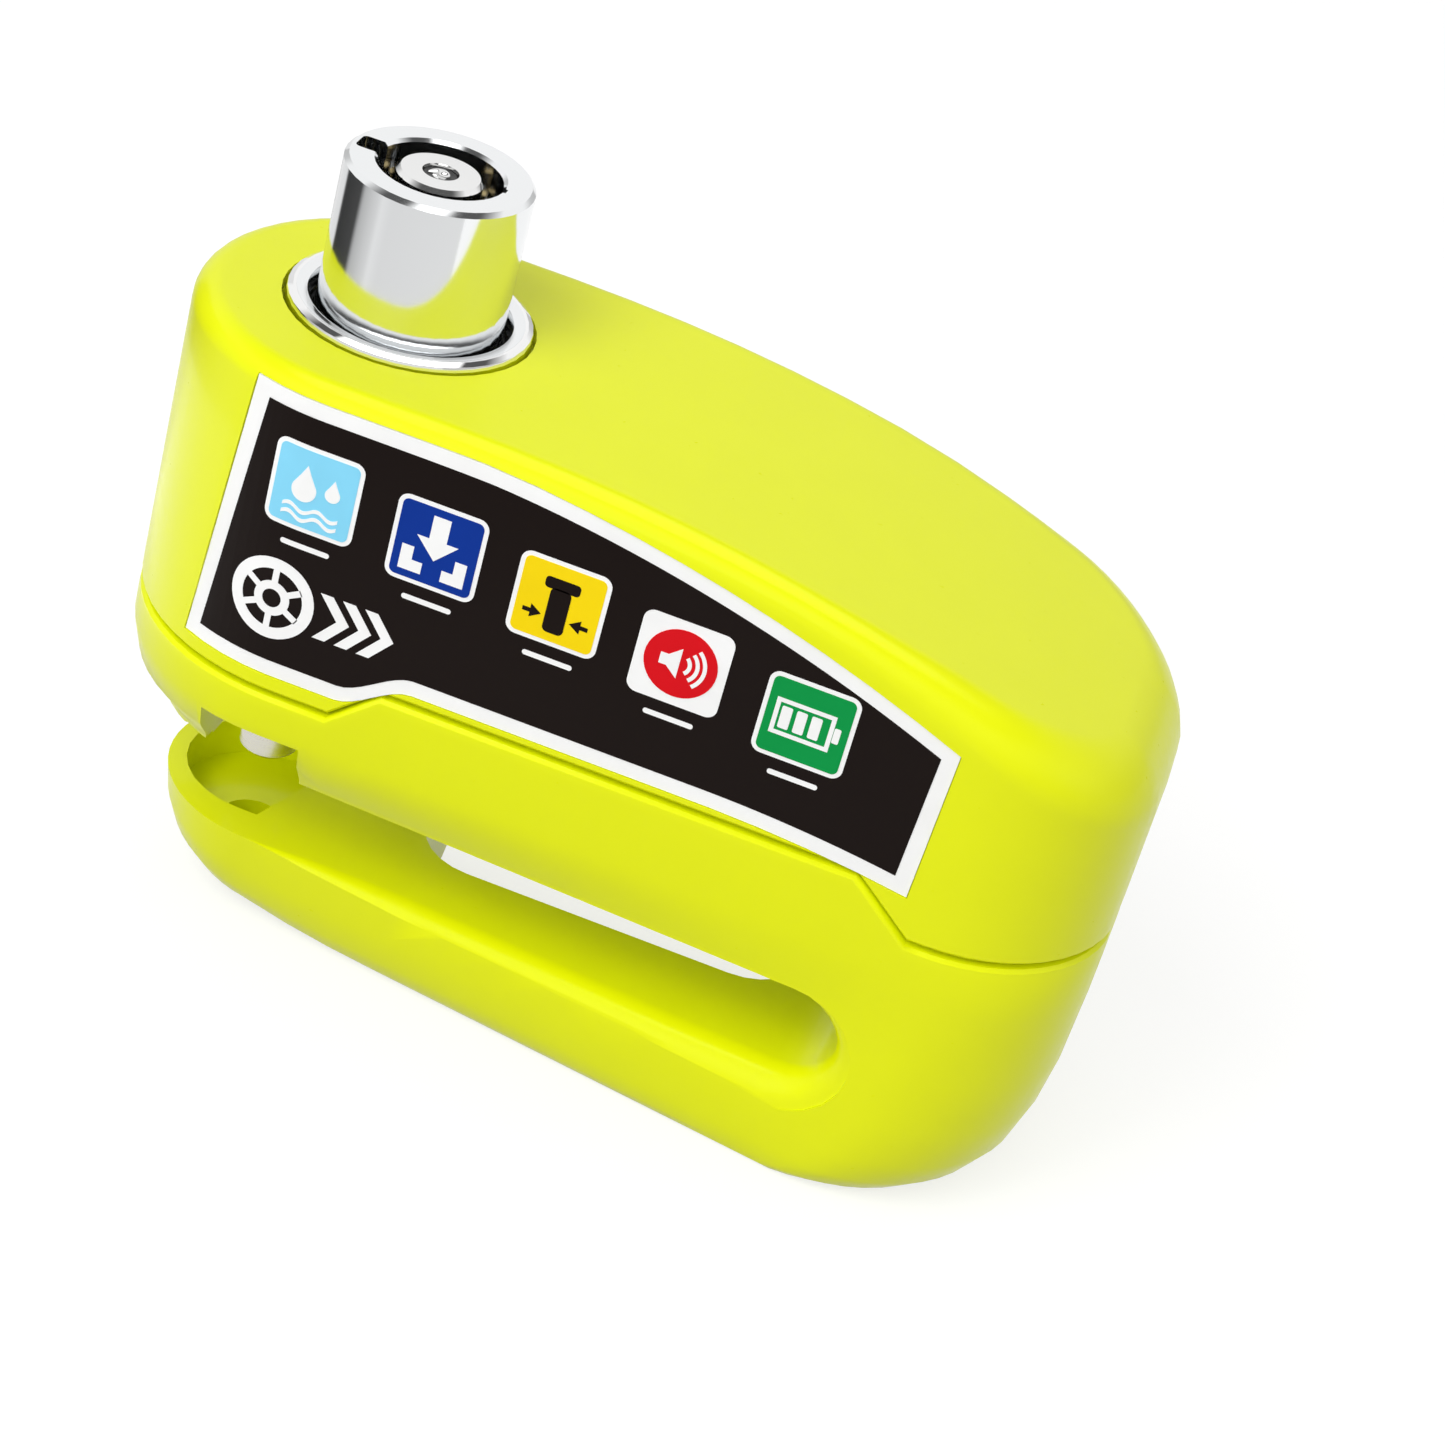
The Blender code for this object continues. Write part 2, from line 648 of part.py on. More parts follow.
def label_block(grow, front, back):
    """A block between two depths of the front face, as large as the label grown all round."""
    ends = [*LABEL_FOOT, *LABEL_HEAD]
    foot_left, foot_right, head_left, head_right = [x + grow * way for x, way in zip(ends, (-1, 1, -1, 1))]
    run = [foot_left + (LABEL_STEP[0] - foot_left) * k / 7 for k in range(7)]
    run += [LABEL_STEP[0] + (LABEL_STEP[1] - LABEL_STEP[0]) * k / 8 for k in range(8)]
    run += [LABEL_STEP[1] + (foot_right - LABEL_STEP[1]) * k / 10 for k in range(11)]
    rings = []
    for x in run:
        head = head_left + (head_right - head_left) * (x - foot_left) / (foot_right - foot_left)
        low, high = label_low(x) - grow, label_high(head) + grow
        corners = [(x, front, low), (head, front, high), (head, back, high), (x, back, low)]
        rings.append([Vector((*front_place(place, depth), z)) for place, depth, z in corners])
    return loft(rings)


def front_label():
    """A thin plate bent round the left end, in a recess of the cover's face. Returns the recess's cutter."""
    add_object("front_label", label_block(0.0, 0.16, 0.52), "white")
    return add_object("label_recess", label_block(0.08, -3.0, 0.6))


def alarm_module():
    x0, x1 = CAVITY_X
    tray_low = CAVITY_FLOOR + GAP
    end = CELL_START_X + CELL_STACK * (CELL_LENGTH + 0.2) + 0.6
    tray = add_object("battery_tray", box_bm((CELL_START_X - 2.2, -14, tray_low), (end + 1.6, 14, CELL_Z)), "black")
    for side, label in ((-1, "a"), (1, "b")):
        groove = add_object(f"cell_groove_{label}", turned_x(
            CELL_R + GAP, CELL_START_X - GAP, end, side * CELL_Y, CELL_Z))
        cut(tray, groove)
        for k in range(CELL_STACK):
            start = CELL_START_X + k * (CELL_LENGTH + 0.2)
            cell = turned_x(CELL_R, start, start + CELL_LENGTH, side * CELL_Y, CELL_Z)
            add_object(f"button_cell_{label}{k + 1}", cell, "steel")
    add_object("circuit_board", box_bm((x0 + 1.0, -11.0, BOARD_Z), (33.0, 11.0, BOARD_Z + 1.2)), "green")
    add_object("alarm_chip", box_bm((-2, -3, BOARD_Z + 1.5), (4, 3, BOARD_Z + 3.0), 0.15), "black")
    sensor = cylinder_bm(2.4, BOARD_Z + 1.5, BOARD_Z + 7.5, (12, 5), SMALL_ROUND)
    add_object("vibration_sensor", sensor, "brass")
    add_object("reed_switch", box_bm((-13.0, -3, BOARD_Z + 1.5), (-8.5, 3, BOARD_Z + 5.0), 0.2), "black")
    sounder = [(0, tray_low + 7.5), (2.5, tray_low + 7.5), (2.5, tray_low + 7.0), (SOUNDER_R, tray_low + 7.0),
               (SOUNDER_R, tray_low), (0, tray_low)]
    add_object("piezo_sounder", turned(sounder[::-1], (SOUNDER_X, 0), 32), "black")
    return tray


def turned_x(radius, low, high, y, z, steps=20):
    """A round bar along X."""
    bm = cylinder_bm(radius, low, high, (0, 0), steps)
    bmesh.ops.rotate(bm, verts=bm.verts, cent=(0, 0, 0), matrix=Matrix.Rotation(math.radians(90), 3, "Y"))
    bmesh.ops.translate(bm, vec=(0, y, z), verts=bm.verts)
    return bm


def main():
    clear_scene()
    cut(top_cover(), front_label())
    lower_body()
    collar_ring()
    cylinder_sleeve()
    lock_cylinder()
    key_core()
    tumbler_pins()
    lock_pin()
    latch_bolt()
    magnet()
    return_spring()
    pin_guide_bush()
    cover_seal()
    alarm_module()
    cover_screws()


main()
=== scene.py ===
"""The look of an alarm disc brake lock: finishes of the CAD nodes, printed label, camera and studio."""

import json
import math

import bmesh
import bpy
from mathutils import Matrix, Vector

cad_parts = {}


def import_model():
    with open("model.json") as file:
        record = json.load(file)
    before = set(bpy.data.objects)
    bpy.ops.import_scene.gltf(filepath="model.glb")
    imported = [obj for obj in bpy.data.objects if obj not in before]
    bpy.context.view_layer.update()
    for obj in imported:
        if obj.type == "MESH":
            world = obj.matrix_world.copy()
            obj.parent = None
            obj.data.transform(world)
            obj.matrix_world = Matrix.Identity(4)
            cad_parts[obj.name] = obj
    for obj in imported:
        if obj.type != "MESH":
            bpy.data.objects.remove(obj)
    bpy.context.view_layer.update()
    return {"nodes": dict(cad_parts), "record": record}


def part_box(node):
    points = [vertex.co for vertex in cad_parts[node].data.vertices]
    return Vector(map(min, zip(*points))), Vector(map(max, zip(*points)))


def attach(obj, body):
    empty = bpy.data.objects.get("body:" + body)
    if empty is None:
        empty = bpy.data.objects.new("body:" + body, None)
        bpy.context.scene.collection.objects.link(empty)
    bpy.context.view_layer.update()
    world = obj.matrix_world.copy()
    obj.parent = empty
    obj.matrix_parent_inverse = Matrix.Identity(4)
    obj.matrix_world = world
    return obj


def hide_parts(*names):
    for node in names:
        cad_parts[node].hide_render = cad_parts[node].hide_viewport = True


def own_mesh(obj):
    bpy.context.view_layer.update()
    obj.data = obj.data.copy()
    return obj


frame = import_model()

MM = 0.001
CIRCLE_STEPS = 40
CORNER_STEPS = 7
BAND_STEPS = 24

# Shading: the angle in degrees above which an edge is crisp, and how near points are welded, in metres.
CRISP_ANGLE = 32
WELD = 1e-6
NORMAL_WEIGHT = 60

# Camera, as fitted to the photograph, in degrees and millimetres.
CAMERA_AZIMUTH = 7.51
CAMERA_ELEVATION = 31.62
CAMERA_ROLL = 16.37
CAMERA_DISTANCE = 322.0
CAMERA_TARGET = Vector((1.0, 0.0, 50.0))
CAMERA_ACROSS = 2.6
CAMERA_UP = -16.36
FOCAL_PIXELS = 3600.0
IMAGE_PIXELS = 1445.0
SENSOR = 36.0
CAMERA_NEAR = 0.01

# The cover's front face, which carries the label: flat, then round its left end.
HALF_WIDTH = 19.0
ROUND_START = -29.0

# The cylinder's small pieces. A section is (radius, height), from the top of the node that it sits in.
CYLINDER_X = -29.0
TURNED_STEPS = 96
TAB_SLOT = (3.8, 2.5)
TAB_SLOT_AT = 5.8
TAB_SLOT_CORNER = 0.5
TAB_SLOT_DEPTH = 6.0
TAB_SLOT_OVER = 1.0
LUG_CURVE = [(-1.10, -0.10), (-0.20, 1.25), (0.55, -0.15)]
LUG_TAIL = 0.22
LUG_HEAD = 0.66
LUG_DEPTH = 0.35
LUG_SECTIONS = 30
LUG_SIDES = 20
LUG_FLATTEN = 0.7
# DISH is a dark disc in the core's end, painted shade that darkens the recess round the bead.
DISH = [(0.02, -0.42), (1.1, -0.42), (1.50, -0.30), (1.56, -0.48), (0.02, -0.6)]
DISH_STEPS = 40
LIP_OUTSIDE = [(10.30, -0.015), (9.70, -0.06), (9.30, -0.25), (9.05, -0.65)]
LIP_INSIDE = [(8.95, -1.2), (8.95, -1.7), (9.90, -0.5)]
# A rubber wiper in the collar's gap, black so that it paints the gap's shade as a dark line.
WIPER_SHADE_RING = [(8.62, -2.6), (9.06, -2.6), (9.06, -2.2), (8.85, -2.1), (8.66, -2.2)]
WIRE = 0.4
WIRE_SIDES = 10
SPRING_TURNS = 9
SPRING_STEPS = 24

# The label, in millimetres along X and Z. Each printed layer lies a little in front of the one below,
# and points of a layer that are nearer than JOIN become one.
LABEL_FOOT = (-38.6, 30.3)
LABEL_HEAD = (-36.1, 30.9)
LABEL_STEP = (-23.2, -16.4)
LABEL_FALL = 10.0
LABEL_LOW = 32.9
LABEL_HIGH = 36.1
LABEL_END_DROP = 1.6
LABEL_MARGIN = 1.5
LABEL_TOP_START = -14.0
LABEL_TOP_RUN = 44.0
LABEL_TOP_DROP = 3.4
LABEL_TOP_POWER = 1.3
LABEL_POINTS = 90
COVER_TOP = 62.0
CROWN_START = -21.0
CROWN_RUN = 65.0
CROWN_DROP = 12.0
CROWN_POWER = 2.2
BORDER = 1.5
PLATE_DEPTH = 0.16
LAYER = 0.04
LAYER_SHARE = 0.9
JOIN = 1e-3
TILE_SIZE = 8.3
TILE_RIM = 0.42
TILE_CORNER = 1.0
TILE_PLACES = [(-28.8, 52.2), (-17.2, 51.2), (-5.7, 50.1), (5.8, 48.8), (17.6, 47.4)]
SOUND_FIELD = 3.3
RULE = (4.6, 0.5, 0.24)
RULE_OFFSET = (0.2, -5.6)
EMBLEM = (-30.6, 40.6)

# Outlines in the signs, about the middle of a tile or the tip of a chevron.
ARROW = [(-0.8, 3.0), (-0.8, 0.7), (-1.9, 0.7), (0, -1.3), (1.9, 0.7), (0.8, 0.7), (0.8, 3.0)]
BRACKET = [(-3.0, -3.0), (-0.9, -3.0), (-0.9, -1.9), (-1.9, -1.9), (-1.9, -0.6), (-3.0, -0.6)]
HORN = [(-1.9, -0.55), (-1.2, -0.55), (-0.1, -1.5), (-0.1, 1.5), (-1.2, 0.55), (-1.9, 0.55)]
CHEVRON = [(0, 0), (-1.9, 2.3), (-3.1, 2.3), (-1.2, 0), (-3.1, -2.3), (-1.9, -2.3)]

# An odd count keeps the points off the middle of the wave, where three would lie in line.
WAVE_STEPS = 25

# Print colours, linear.
INK_BLACK = (0.0075, 0.0040, 0.0032)
INK_WHITE = (0.96, 0.96, 0.95)
INK_SKY = (0.25, 0.69, 0.93)
INK_BLUE = (0.004, 0.035, 0.29)
INK_YELLOW = (0.97, 0.70, 0.004)
INK_RED = (0.70, 0.007, 0.013)
INK_GREEN = (0.004, 0.30, 0.062)

# Finish colours, linear.
LIME = (0.805, 0.862, 0.0012)
CHROME = (0.90, 0.90, 0.90)
STEEL = (0.64, 0.62, 0.57)
POLISHED_STEEL = (0.88, 0.88, 0.87)
BRASS = (0.74, 0.56, 0.25)
RUBBER = (0.022, 0.022, 0.022)
# Painted shade: the wiper is darker than the other rubber, to paint the collar's gap as a dark line.
WIPER_SHADE_BLACK = (0.012, 0.012, 0.012)
BOARD_GREEN = (0.02, 0.20, 0.08)
BLACK_PLASTIC = (0.020, 0.018, 0.018)
# Painted shade: the dark disc in the core's recess.
RECESS_SHADE_COLOUR = (0.03, 0.03, 0.03)

# Studio light, and a floor that reaches so many metres each way.
WORLD_LIGHT = 0.50
FLOOR_GLOW = 0.72
FLOOR_REACH = 4.0
FLOOR_COLOUR = (0.35, 0.35, 0.35, 1.0)
FLOOR_ROUGHNESS = 0.9
WHITE = (1.0, 1.0, 1.0)

# Lamps: name, place and size in metres, and power in watts. Mirrors don't see them.
LAMP_TARGET = (0.0, 0.0, 0.04)
LAMPS = [
    ("key", (-0.35, -0.45, 0.70), 0.45, 2.3),
    ("fill", (-0.15, -0.62, 0.42), 0.60, 2.9),
    ("rear", (0.10, 0.75, 0.35), 0.50, 0.6),
    ("rim", (0.70, 0.0, 0.25), 0.40, 0.7),
]

# What mirrors see of the sky, by the height of the direction:
# grey low down, white, a dark band, then a bright top.
SKY_SHADES = [(0.0, 0.55), (0.18, 0.62), (0.34, 1.0), (0.62, 1.0), (0.78, 0.10), (0.88, 0.10), (0.93, 3.5)]

# The screen round the cylinder that only mirrors see: its shade at each bearing, in degrees.
SCREEN_SHADES = [
    (120, 0.85), (159, 0.80), (164, 0.04), (196, 0.06), (202, 0.50),
    (222, 0.72), (228, 0.85), (240, 0.78), (318, 0.82),
]
SCREEN_MIDDLE = 220
SCREEN_DISTANCE = 40.0
SCREEN_HEIGHTS = (41.0, 74.0)
SCREEN_STEPS = 60

# A bright sheet on the floor at the left, which gives the round end its highlight.
SHEET = (-170.0, -85.0, -60.0, 50.0)
SHEET_HEIGHT = 1.0
SHEET_GLOW = 1.7


def arc(centre, radius, start, stop, count):
    """Points on a circle, from one angle to another, in degrees."""
    points = []
    for k in range(count):
        angle = math.radians(start + (stop - start) * k / (count - 1))
        points.append((centre[0] + radius * math.cos(angle), centre[1] + radius * math.sin(angle)))
    return points


def circle(centre, radius, count=CIRCLE_STEPS):
    return arc(centre, radius, 0, 360 - 360 / count, count)


def rounded_box(centre, width, height, corner):
    """A rectangle with round corners."""
    points = []
    for side, (right, up) in enumerate(((1, 1), (-1, 1), (-1, -1), (1, -1))):
        middle = (centre[0] + right * (width / 2 - corner), centre[1] + up * (height / 2 - corner))
        points += arc(middle, corner, 90 * side, 90 * side + 90, CORNER_STEPS)
    return points


def band(centre, inner, outer, start, stop):
    """A part of a ring."""
    return arc(centre, outer, start, stop, BAND_STEPS) + arc(centre, inner, stop, start, BAND_STEPS)


# Finishes


def noise(tree, scale, detail, stretch):
    """A noise texture in object coordinates, in metres, stretched along an axis where a scale is small."""
    coordinates = tree.nodes.new("ShaderNodeTexCoord")
    mapping = tree.nodes.new("ShaderNodeMapping")
    mapping.inputs["Scale"].default_value = stretch
    texture = tree.nodes.new("ShaderNodeTexNoise")
    texture.inputs["Scale"].default_value = scale
    texture.inputs["Detail"].default_value = detail
    tree.links.new(coordinates.outputs["Object"], mapping.inputs["Vector"])
    tree.links.new(mapping.outputs["Vector"], texture.inputs["Vector"])
    return texture.outputs["Fac"]


def ramp(tree, value, low, high):
    """A colour ramp between two colours."""
    made = tree.nodes.new("ShaderNodeValToRGB")
    first, last = made.color_ramp.elements
    first.color, last.color = (*low, 1), (*high, 1)
    tree.links.new(value, made.inputs["Fac"])
    return made.outputs["Color"]


def shades(tree, value, stops):
    """A ramp of greys, from (position, shade) pairs in order."""
    made = tree.nodes.new("ShaderNodeValToRGB")
    elements = made.color_ramp.elements
    for element, (position, shade) in zip(elements, (stops[0], stops[-1])):
        element.position = position
        element.color = (shade, shade, shade, 1)
    for position, shade in stops[1:-1]:
        elements.new(position).color = (shade, shade, shade, 1)
    tree.links.new(value, made.inputs["Fac"])
    return made.outputs["Color"]


def spread(tree, value, low, high):
    """Maps a texture's range to the range low to high."""
    made = tree.nodes.new("ShaderNodeMapRange")
    made.inputs["To Min"].default_value = low
    made.inputs["To Max"].default_value = high
    tree.links.new(value, made.inputs["Value"])
    return made.outputs["Result"]


def finish_material(
        name, colour, roughness, vary, grain, bump, depth, stretch=(1, 1, 1), **shader):
    """A Principled material whose colour, roughness and bump come from noise at the finish's own scale."""
    made = bpy.data.materials.new(name)
    made.use_nodes = True
    tree = made.node_tree
    principled = tree.nodes["Principled BSDF"]
    dark = [c * (1 - 2 * vary) for c in colour]
    light = [min(1.0, c * (1 + 2 * vary)) for c in colour]
    broad = noise(tree, grain / 8, 2.0, stretch)
    fine = noise(tree, grain, 4.0, stretch)
    tree.links.new(ramp(tree, broad, dark, light), principled.inputs["Base Color"])
    tree.links.new(spread(tree, fine, roughness * 0.7, roughness * 1.3), principled.inputs["Roughness"])
    relief = tree.nodes.new("ShaderNodeBump")
    relief.inputs["Strength"].default_value = bump
    relief.inputs["Distance"].default_value = depth * MM
    tree.links.new(fine, relief.inputs["Height"])
    tree.links.new(relief.outputs["Normal"], principled.inputs["Normal"])
    for socket, value in shader.items():
        principled.inputs[socket.replace("_", " ")].default_value = value
    return made


def lime_paint():
    return finish_material(
        "lime_paint", LIME, 0.32, vary=0.008, grain=1400, bump=0.03, depth=0.01,
        Coat_Weight=0.14, Coat_Roughness=0.08, Specular_IOR_Level=0.18)


def chrome():
    return finish_material(
        "chrome", CHROME, 0.05, vary=0.02, grain=900, stretch=(1, 1, 0.2), bump=0.01, depth=0.01,
        Metallic=1.0)


def turned_steel(name, colour, roughness):
    return finish_material(
        name, colour, roughness, vary=0.10, grain=2500, stretch=(0.06, 0.06, 1), bump=0.12, depth=0.02,
        Metallic=1.0)


def moulded(name, colour, roughness):
    return finish_material(name, colour, roughness, vary=0.12, grain=2200, bump=0.20, depth=0.03)


def print_ink(name, colour):
    return finish_material(
        name, colour, 0.42, vary=0.03, grain=1800, bump=0.03, depth=0.01, Specular_IOR_Level=0.08)


def smooth(piece):
    """Smooth shading with crisp edges: a shading flag and modifiers, so that a CAD mesh keeps its shape."""
    piece.data.polygons.foreach_set("use_smooth", [True] * len(piece.data.polygons))
    weld = piece.modifiers.new("weld", "WELD")
    weld.merge_threshold = WELD
    split = piece.modifiers.new("edges", "EDGE_SPLIT")
    split.split_angle = math.radians(CRISP_ANGLE)
    normals = piece.modifiers.new("normals", "WEIGHTED_NORMAL")
    normals.keep_sharp = True
    normals.weight = NORMAL_WEIGHT


def finish_nodes():
    """Gives each CAD node the finish of its material slot."""
    finishes = {
        "lime_paint": lime_paint(),
        "chrome": chrome(),
        "steel": turned_steel("steel", STEEL, 0.26),
        "brass": turned_steel("brass", BRASS, 0.28),
        "rubber": moulded("rubber", RUBBER, 0.75),
        "board_green": moulded("board_green", BOARD_GREEN, 0.45),
        "black_plastic": moulded("black_plastic", BLACK_PLASTIC, 0.42),
        "label_print": print_ink("label_white", INK_WHITE),
    }
    polished = turned_steel("polished_steel", POLISHED_STEEL, 0.10)
    for part in frame["record"]["subparts"]:
        name = part["node"]
        node = frame["nodes"][name]
        node.data.materials.clear()
        node.data.materials.append(polished if name == "key_core" else finishes[part["material_slot"]])
        smooth(node)


# The label


def front_place(x, depth):
    """Where the front face is in plan, at a depth below it: flat, then round the left end."""
    if x >= ROUND_START:
        return x, depth - HALF_WIDTH
    angle = math.asin((x - ROUND_START) / HALF_WIDTH)
    return ROUND_START + (HALF_WIDTH - depth) * math.sin(angle), (depth - HALF_WIDTH) * math.cos(angle)


def ordered_mesh(name, bm):
    """A mesh whose points and faces come in the same order in every run, whatever order bmesh keeps."""
    points = sorted(bm.verts, key=lambda vert: tuple(vert.co))
    number = {vert: k for k, vert in enumerate(points)}
    faces = []
    for face in bm.faces:
        loop = [number[vert] for vert in face.verts]
        first = loop.index(min(loop))
        faces.append(loop[first:] + loop[:first])
    mesh = bpy.data.meshes.new(name)
    mesh.from_pydata([tuple(vert.co) for vert in points], [], sorted(faces))
    bm.free()
    return mesh


def printed(name, outlines, layer, ink):
    """Flat shapes, printed on the label as one piece, bent round the left end with the face below them."""
    bm = bmesh.new()
    for outline in outlines:
        bm.faces.new([bm.verts.new((x, 0, z)) for x, z in outline])
    bmesh.ops.remove_doubles(bm, verts=bm.verts[:], dist=JOIN)
    bm.normal_update()
    bmesh.ops.triangulate(bm, faces=bm.faces[:], ngon_method="EAR_CLIP")
    lowest = min(v.co.x for v in bm.verts)
    cuts = max(0, math.ceil(ROUND_START - lowest))
    for k in range(cuts):
        everything = bm.verts[:] + bm.edges[:] + bm.faces[:]
        place = (ROUND_START - k, 0, 0)
        bmesh.ops.bisect_plane(bm, geom=everything, dist=JOIN, plane_co=place, plane_no=(1, 0, 0))
    bmesh.ops.recalc_face_normals(bm, faces=bm.faces[:])
    front = PLATE_DEPTH - LAYER * layer
    raised = bmesh.ops.extrude_face_region(bm, geom=bm.faces[:])
    moved = {v for v in raised["geom"] if isinstance(v, bmesh.types.BMVert)}
    for vert in bm.verts:
        depth = front if vert in moved else front + LAYER * LAYER_SHARE
        x, y = front_place(vert.co.x, depth)
        vert.co = Vector((x, y, vert.co.z)) * MM
    bmesh.ops.recalc_face_normals(bm, faces=bm.faces[:])
    mesh = ordered_mesh(name, bm)
    mesh.materials.append(ink)
    piece = bpy.data.objects.new(name, mesh)
    bpy.context.scene.collection.objects.link(piece)
    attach(piece, "housing")


def crown(x):
    """The height of the cover's crown, which falls away to the closed end."""
    run = max(0.0, x - CROWN_START) / CROWN_RUN
    return COVER_TOP - CROWN_DROP * run**CROWN_POWER


def label_low(x):
    """The label's lower edge: a step up along the slot, then a fall to its right end."""
    share = min(1.0, max(0.0, (x - LABEL_STEP[0]) / (LABEL_STEP[1] - LABEL_STEP[0])))
    fall = max(0.0, x - LABEL_FALL) / (LABEL_FOOT[1] - LABEL_FALL)
    rise = (LABEL_HIGH - LABEL_LOW) * share * share * (3 - 2 * share)
    return LABEL_LOW + rise - LABEL_END_DROP * fall**2


def label_high(x):
    """The label's upper edge, which follows the crown and leaves it towards the right."""
    share = max(0.0, (x - LABEL_TOP_START) / LABEL_TOP_RUN)
    return crown(x) - LABEL_MARGIN - LABEL_TOP_DROP * share**LABEL_TOP_POWER


def label_outline(inset):
    """The label's outline, drawn in from its edge."""
    foot_left, foot_right = LABEL_FOOT[0] + inset, LABEL_FOOT[1] - inset
    head_left, head_right = LABEL_HEAD[0] + inset, LABEL_HEAD[1] - inset
    steps = range(LABEL_POINTS + 1)
    low = [foot_left + (foot_right - foot_left) * k / LABEL_POINTS for k in steps]
    high = [head_right + (head_left - head_right) * k / LABEL_POINTS for k in steps]
    return [(x, label_low(x) + inset) for x in low] + [(x, label_high(x) - inset) for x in high]


def placed(x, z, points):
    """Points drawn about the origin, moved to a place on the label."""
    return [(x + right, z + up) for right, up in points]


def drop(centre, size):
    """A water drop: a round foot and a point above."""
    x, z = centre
    side, shoulder = size * 0.42, z + size * 1.25
    point = [(x + side, shoulder), (x, z + size * 2.1), (x - side, shoulder)]
    return arc((x, z), size, -200, 20, 22) + point


def sign_water(x, z):
    waves = []
    for level in (-2.2, -3.0):
        run = [x - 2.6 + 5.2 * k / WAVE_STEPS for k in range(WAVE_STEPS + 1)]
        lift = [z + level + 0.28 * math.sin((place - x) * 2.4) for place in run]
        waves.append(list(zip(run, lift)) + [(p, q + 0.36) for p, q in zip(run[::-1], lift[::-1])])
    return [drop((x - 0.9, z - 0.1), 1.15), drop((x + 1.7, z + 0.3), 0.7)] + waves


def sign_push(x, z):
    arrow = placed(x, z, ARROW)
    left = placed(x, z, BRACKET)
    right = [(2 * x - place, height) for place, height in left]
    return [arrow[::-1], left, right[::-1]]


def sign_pin(x, z):
    shaft = rounded_box((x, z - 0.7), 1.9, 4.4, 0.5)
    head = rounded_box((x, z + 1.9), 3.2, 1.1, 0.35)
    signs = [shaft, head]
    for side in (-1, 1):
        tip = x + side * 1.3
        tail = tip + side * 1.0
        end = tail + side * 0.7
        upper = [(tip, z - 1.4), (tail, z - 0.75), (tail, z - 1.2), (end, z - 1.2)]
        signs.append(upper + [(end, z - 1.6), (tail, z - 1.6), (tail, z - 2.05)])
    return signs


def sign_sound(x, z):
    horn = placed(x, z, HORN)
    arcs = [band((x - 0.2, z), radius, radius + 0.36, -48, 48) for radius in (0.85, 1.55, 2.2)]
    return [horn] + arcs


def sign_battery(x, z):
    shell = [(x - 3.0, z - 1.8), (x + 2.4, z - 1.8), (x + 2.4, z + 1.8), (x - 3.0, z + 1.8)]
    hollow = [(x - 2.6, z - 1.4), (x + 2.0, z - 1.4), (x + 2.0, z + 1.4), (x - 2.6, z + 1.4)]
    frame_sides = []
    for k in range(4):
        j = (k + 1) % 4
        frame_sides.append([shell[k], shell[j], hollow[j], hollow[k]])
    bars = [rounded_box((x - 1.9 + 1.35 * k, z), 0.95, 2.2, 0.15) for k in range(3)]
    return frame_sides + bars + [rounded_box((x + 2.75, z), 0.6, 1.5, 0.15)]


def brake_disc_sign(x, z):
    """A plain brake disc with chevrons beside it, where the photograph has wording."""
    rim = [band((x, z), 2.9, 4.0, 0, 180), band((x, z), 2.9, 4.0, 180, 360)]
    hub = [band((x, z), 0.9, 1.7, 0, 180), band((x, z), 0.9, 1.7, 180, 360)]
    spokes = []
    for k in range(6):
        angle = math.radians(60 * k + 30)
        along = Vector((math.cos(angle), math.sin(angle)))
        across = Vector((-along.y, along.x)) * 0.3
        middle = Vector((x, z))
        inner, outer = middle + along * 1.6, middle + along * 3.0
        corners = [inner + across, inner - across, outer - across, outer + across]
        spokes.append([tuple(corner) for corner in corners])
    chevrons = [placed(x + 7.4 + 2.1 * k, z, CHEVRON) for k in range(3)]
    return rim + hub + spokes + chevrons


def front_print():
    """The label's print: a black panel in a white border, five tiles with signs, and caption rules."""
    white = print_ink("ink_white", INK_WHITE)
    black = print_ink("ink_black", INK_BLACK)
    printed("label_panel", [label_outline(BORDER)], 1, black)
    fields = [INK_SKY, INK_BLUE, INK_YELLOW, INK_WHITE, INK_GREEN]
    signs = [sign_water, sign_push, sign_pin, sign_sound, sign_battery]
    for index, (place, colour, sign) in enumerate(zip(TILE_PLACES, fields, signs), 1):
        printed(f"label_tile_{index}", [rounded_box(place, TILE_SIZE, TILE_SIZE, TILE_CORNER)], 2, white)
        inside = TILE_SIZE - 2 * TILE_RIM
        field = rounded_box(place, inside, inside, TILE_CORNER - TILE_RIM)
        if sign is sign_sound:
            field = circle(place, SOUND_FIELD)
            colour = INK_RED
        ink = print_ink(f"ink_{index}", colour)
        printed(f"label_field_{index}", [field], 3, ink)
        printed(f"label_sign_{index}", sign(*place), 4, black if sign is sign_pin else white)
        rule = rounded_box((place[0] + RULE_OFFSET[0], place[1] + RULE_OFFSET[1]), *RULE)
        printed(f"label_rule_{index}", [rule], 2, white)
    printed("label_emblem", brake_disc_sign(*EMBLEM), 2, white)


# The cylinder's small pieces


def turned_piece(name, profile, material, body, count=TURNED_STEPS):
    """A ring turned round the cylinder's axis from a closed section of (radius, height)."""
    bm = bmesh.new()
    rings = []
    centre = Vector((CYLINDER_X, 0, 0))
    for k in range(count):
        angle = 2 * math.pi * k / count
        across = Vector((math.cos(angle), math.sin(angle), 0))
        places = [centre + across * radius + Vector((0, 0, z)) for radius, z in profile]
        rings.append([bm.verts.new(place * MM) for place in places])
    for ring, following in zip(rings, rings[1:] + rings[:1]):
        for i in range(len(profile)):
            j = (i + 1) % len(profile)
            bm.faces.new((ring[i], ring[j], following[j], following[i]))
    return piece_from(bm, name, material, body)


